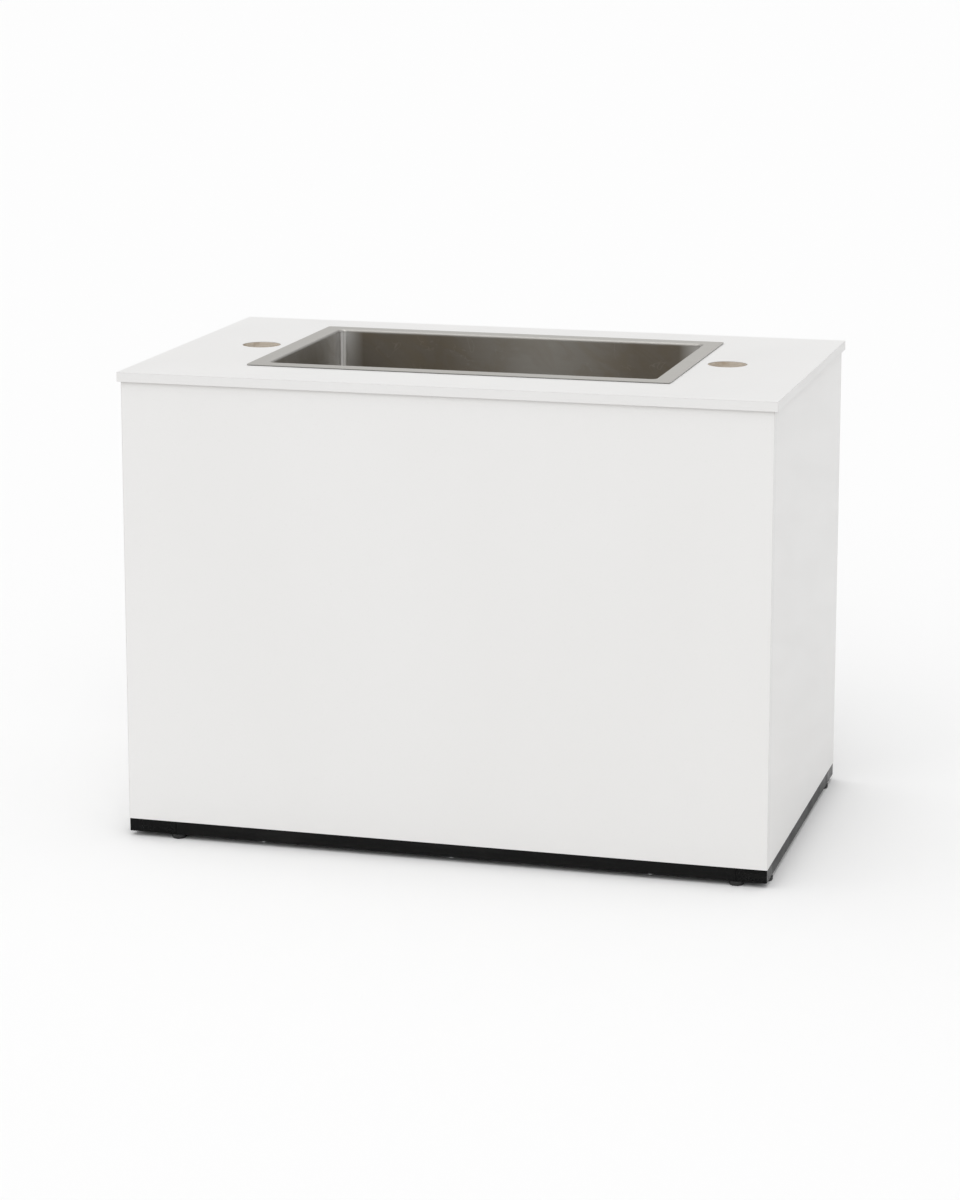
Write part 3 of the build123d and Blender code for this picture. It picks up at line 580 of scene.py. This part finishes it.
for node in ("front_panel", "left_panel", "right_panel", "bottom_panel", "back_stretcher"):
    board(node, BOARD_EASE)
for node in sorted(slot_of):
    if slot_of[node] == "edge_band":
        board(node, BAND_EASE)
for node in ("top_batten_front", "well_bearer_front", "well_bearer_back"):
    board(node, BATTEN_EASE)
for node in ("top_batten_left", "top_batten_right"):
    board(node, BATTEN_EASE, PINE_ALONG_Y)
for node in ("corner_batten_left", "corner_batten_right"):
    board(node, BATTEN_EASE, PINE_ALONG_Z)


# Worktop: three layers with the cut-out and the two round holes

CASING_LOW, CASING_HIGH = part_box("basin_casing")
HOLE_RADIUS = 0.0375
HOLE_SPREAD = 0.466
CUTOUT_GAP = 0.0025
CUTOUT_CORNER = 0.015
LAMINATE_EASE = 0.0003
CORE_EASE = 0.0001
BACKER_EASE = 0.0002
PAST = 0.005


def cutout_tool(low, high):
    """A block with rounded upright corners, as large as the well's cut-out."""
    corner = (CASING_LOW.x - CUTOUT_GAP, CASING_LOW.y - CUTOUT_GAP, low)
    far_corner = (CASING_HIGH.x + CUTOUT_GAP, CASING_HIGH.y + CUTOUT_GAP, high)
    tool = block("cutout_tool", corner, far_corner)
    pick(tool, "EDGE", lambda middle, way: abs(way.z) > 0.9)
    bpy.ops.mesh.bevel(offset=CUTOUT_CORNER, segments=10, affect="EDGES")
    return close(tool)


def worktop_layer(node, ease):
    """One layer of the worktop with its openings."""
    low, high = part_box(node)
    z0, z1 = low.z - PAST, high.z + PAST
    tools = [cutout_tool(z0, z1)]
    for side in (-1, 1):
        tools.append(drum("hole_tool", (WELL_X + side * HOLE_SPREAD, WELL_Y), HOLE_RADIUS, z0, z1, 128))
    piece = cut(block(node + "_cut", low, high), tools)
    return fit(round_over(piece, ease, 2), "cabinet", node)


worktop_layer("worktop_laminate", LAMINATE_EASE)
worktop_layer("worktop_core", CORE_EASE)
worktop_layer("worktop_backer", BACKER_EASE)


# Ice well

RIM_CORNER = 0.005
SHEET = 0.0015
WELL_DEPTH = 0.200
MOUTH_BEND = 0.005
FLOOR_BEND = 0.010
FALL = 0.008
SUMP = 0.080
DRAIN_BORE = 0.0135
SHEET_EASE = 0.0003
WELL_FLOOR = RIM_TOP - WELL_DEPTH
HAIR = 0.0001


def rounded_outline(name, length, width, corner):
    """A closed line with rounded corners round the mouth of the well."""
    bpy.ops.object.select_all(action="DESELECT")
    bpy.ops.mesh.primitive_plane_add(size=1.0, location=(WELL_X, WELL_Y, RIM_TOP))
    bpy.context.object.scale = (length, width, 1.0)
    outline = settle(name)
    pick(outline, "VERT", lambda spot, way: True)
    bpy.ops.mesh.bevel(offset=corner, segments=8, affect="VERTICES")
    close(outline)
    pick(outline, "FACE", lambda middle, way: True)
    bpy.ops.mesh.delete(type="ONLY_FACE")
    return close(outline)


def ice_well():
    """The pressed well: a flat rim, rounded bends, and a floor that falls to the drain."""
    length, width = RIM_HIGH.x - RIM_LOW.x, RIM_HIGH.y - RIM_LOW.y
    rim = rounded_outline("rim_outline", length, width, RIM_CORNER)
    length, width = length - 2 * RIM_WIDTH, width - 2 * RIM_WIDTH
    well = rounded_outline("ice_well_pressed", length, width, WELL_CORNER)
    rim.select_set(True)
    bpy.ops.object.join()
    pick(well, "EDGE", lambda middle, way: True)
    bpy.ops.mesh.bridge_edge_loops()
    close(well)
    inside = (length / 2 + HAIR, width / 2 + HAIR)

    def in_mouth(spot):
        return abs(spot.x - WELL_X) < inside[0] and abs(spot.y - WELL_Y) < inside[1]

    def bottom(middle, way):
        return middle.z < WELL_FLOOR + HAIR and abs(way.z) > 0.9

    pick(well, "EDGE", lambda middle, way: in_mouth(middle))
    bpy.ops.mesh.extrude_region_move(TRANSFORM_OT_translate={"value": (0, 0, -WELL_DEPTH)})
    bpy.ops.mesh.edge_face_add()
    close(well)
    pick(well, "EDGE", lambda middle, way: middle.z > RIM_TOP - HAIR and in_mouth(middle))
    bpy.ops.mesh.bevel(offset=MOUTH_BEND, segments=5, affect="EDGES")
    close(well)
    pick(well, "EDGE", lambda middle, way: middle.z < WELL_FLOOR + HAIR)
    bpy.ops.mesh.bevel(offset=FLOOR_BEND, segments=6, affect="EDGES")
    close(well)
    pick(well, "FACE", bottom)
    bpy.ops.mesh.extrude_region_move(TRANSFORM_OT_translate={"value": (0, 0, -FALL)})
    shrink = (SUMP / (length - 2 * FLOOR_BEND), SUMP / (width - 2 * FLOOR_BEND), 1.0)
    bpy.ops.transform.resize(value=shrink, center_override=(WELL_X, WELL_Y, WELL_FLOOR))
    close(well)
    pick(well, "FACE", lambda middle, way: True)
    bpy.ops.mesh.normals_make_consistent(inside=False)
    close(well)
    if max(well.data.polygons, key=lambda face: face.center.z).normal.z < 0:
        pick(well, "FACE", lambda middle, way: True)
        bpy.ops.mesh.flip_normals()
        close(well)
    apply(well, "SOLIDIFY", thickness=SHEET, offset=-1.0, use_even_offset=True)
    low = WELL_FLOOR - FALL - SHEET - PAST
    cut(well, [drum("drain_tool", (WELL_X, WELL_Y), DRAIN_BORE, low, low + 3 * PAST, 96)])
    round_over(well, SHEET_EASE, 2)
    pick(well, "FACE", lambda middle, way: True)
    bpy.ops.uv.cube_project(cube_size=1.0)
    close(well)
    well.data.uv_layers[0].name = GRAIN
    return fit(well, "basin", "ice_basin")


ice_well()


# Base frame of square tube

TUBE = 0.025
TUBE_WALL = 0.002
TUBE_ROUND = 0.0015
TUBE_END_EASE = 0.0007
STUD_HOLE = 0.006
FEET = [name for name in sorted(slot_of) if slot_of[name] == "black_foot"]


def place_of(node):
    """The middle of a CAD node."""
    low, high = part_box(node)
    return (low + high) / 2


def finish_tube(piece, node, finish=None):
    """Rounds a bar with open ends, gives it a wall, and drills it for the feet's studs."""
    round_over(piece, TUBE_ROUND, 4)
    apply(piece, "SOLIDIFY", thickness=TUBE_WALL, offset=-1.0, use_even_offset=True)
    low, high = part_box(node)
    tools = []
    for foot in FEET:
        place = place_of(foot)
        near_x = low.x - TUBE < place.x < high.x + TUBE
        near_y = low.y - TUBE < place.y < high.y + TUBE
        if near_x and near_y:
            tools.append(drum("stud_tool", place, STUD_HOLE, low.z - PAST, low.z + 2 * TUBE_WALL, 48))
    cut(piece, tools)
    return fit(round_over(piece, TUBE_END_EASE, 2), "cabinet", node, finish)


def base_rail(node, axis):
    """A straight length of tube along one axis."""
    piece = block(node + "_tube", *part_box(node))
    pick(piece, "FACE", lambda middle, way: abs(way[axis]) > 0.9)
    bpy.ops.mesh.delete(type="FACE")
    return finish_tube(close(piece), node)


def base_corner(node, side, end):
    """An L-shaped corner of tube with one leg along each rail."""
    low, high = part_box(node)
    outer = Vector((high.x if side > 0 else low.x, high.y if end > 0 else low.y, low.z))
    inner = outer - Vector((side * TUBE, end * TUBE, -TUBE))
    low_corner = [min(a, b) for a, b in zip(outer, inner)]
    high_corner = [max(a, b) for a, b in zip(outer, inner)]
    piece = block(node + "_tube", low_corner, high_corner)
    reach_x = (low.x if side > 0 else high.x) - inner.x
    reach_y = (low.y if end > 0 else high.y) - inner.y
    pick(piece, "FACE", lambda middle, way: way.x * side < -0.9)
    bpy.ops.mesh.extrude_region_move(TRANSFORM_OT_translate={"value": (reach_x, 0, 0)})
    bpy.ops.mesh.delete(type="FACE")
    close(piece)
    pick(piece, "FACE", lambda middle, way: way.y * end < -0.9 and abs(middle.x - outer.x) < TUBE)
    bpy.ops.mesh.extrude_region_move(TRANSFORM_OT_translate={"value": (0, reach_y, 0)})
    bpy.ops.mesh.delete(type="FACE")
    return finish_tube(close(piece), node, CORNER_COAT)


for node in ("base_rail_front", "base_rail_back"):
    base_rail(node, 0)
for node in ("base_rail_left", "base_rail_right"):
    base_rail(node, 1)
for node, side, end in (
    ("base_corner_front_left", -1, -1),
    ("base_corner_front_right", 1, -1),
    ("base_corner_back_left", -1, 1),
    ("base_corner_back_right", 1, 1),
):
    base_corner(node, side, end)


# Levelling feet

PAD_RADIUS = 0.014
PAD_TOP = 0.0087
SOLE_ROUND = 0.003
PAD_ROUND = 0.0008
SOLE_RIM = 0.003
SOLE_HOLLOW = 0.0008
STUD_RADIUS = 0.005
THREAD_PITCH = 0.0015
THREAD_DEPTH = 0.0006
STUD_TIP = 0.8


def foot_pad():
    """A round moulded pad with a rounded sole, a rounded top edge and a hollow under it."""
    pad = drum("pad_model", (0.0, 0.0), PAD_RADIUS, 0.0, PAD_TOP)
    pick(pad, "EDGE", lambda middle, way: middle.z < HAIR)
    bpy.ops.mesh.bevel(offset=SOLE_ROUND, segments=5, affect="EDGES")
    close(pad)
    pick(pad, "EDGE", lambda middle, way: middle.z > PAD_TOP - HAIR)
    bpy.ops.mesh.bevel(offset=PAD_ROUND, segments=3, affect="EDGES")
    close(pad)
    pick(pad, "FACE", lambda middle, way: way.z < -0.999)
    bpy.ops.mesh.inset(thickness=SOLE_RIM)
    bpy.ops.mesh.extrude_region_move(TRANSFORM_OT_translate={"value": (0, 0, SOLE_HOLLOW)})
    return close(pad)


def foot_stud(top):
    """A threaded stud: a bar whose rings step in and out by the thread's depth."""
    low = PAD_TOP / 2
    stud = drum("stud_model", (0.0, 0.0), STUD_RADIUS, low, top, 32)
    rings = round((top - low) / (THREAD_PITCH / 2)) - 1
    pick(stud, "EDGE", lambda middle, way: abs(way.z) > 0.9)
    bpy.ops.mesh.subdivide(number_cuts=rings)
    close(stud)
    step = (top - low) / (rings + 1)
    pick(stud, "VERT", lambda spot, way: round((spot.z - low) / step) % 2 == 1)
    shrink = 1.0 - THREAD_DEPTH / STUD_RADIUS
    bpy.ops.transform.resize(value=(shrink, shrink, 1.0), center_override=(0.0, 0.0, low))
    close(stud)
    pick(stud, "VERT", lambda spot, way: spot.z > top - HAIR)
    bpy.ops.transform.resize(value=(STUD_TIP, STUD_TIP, 1.0), center_override=(0.0, 0.0, top))
    return close(stud)


def copy_to(model, name, place):
    """A copy with its own mesh, moved sideways to a place."""
    take(model)
    bpy.ops.object.duplicate(linked=False)
    bpy.context.object.location = (place.x, place.y, 0.0)
    return settle(name)


def levelling_feet():
    """Eight feet, each a pad on a threaded stud."""
    pad = foot_pad()
    stud = foot_stud(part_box(FEET[0])[1].z)
    for node in FEET:
        place = place_of(node)
        fit(copy_to(pad, node + "_pad", place), node, node)
        thread = copy_to(stud, node + "_stud", place)
        fit(thread, node, node, FINISHES["zinc_steel"], stands_for=False)
    bpy.data.objects.remove(pad)
    bpy.data.objects.remove(stud)


levelling_feet()


# Dipped grip of the valve's lever

GRIP_ROUND = 0.0032
GRIP_FIT = 0.00005


def dipped_grip():
    """A soft sleeve with round edges and a slot for the lever."""
    low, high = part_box("valve_lever")
    slack = Vector((GRIP_FIT, GRIP_FIT, GRIP_FIT))
    sleeve = round_over(block("lever_grip_dipped", *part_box("valve_lever_grip")), GRIP_ROUND, 4)
    cut(sleeve, [block("slot_tool", low - slack, high + slack)])
    return fit(sleeve, "valve_lever", "valve_lever_grip")


dipped_grip()


# The CAD pieces that show as they are

for name, piece in frame["nodes"].items():
    if not piece.hide_render:
        finish = TURNED_STEEL if slot_of[name] == "stainless" else FINISHES[slot_of[name]]
        for holder in piece.material_slots:
            holder.material = finish
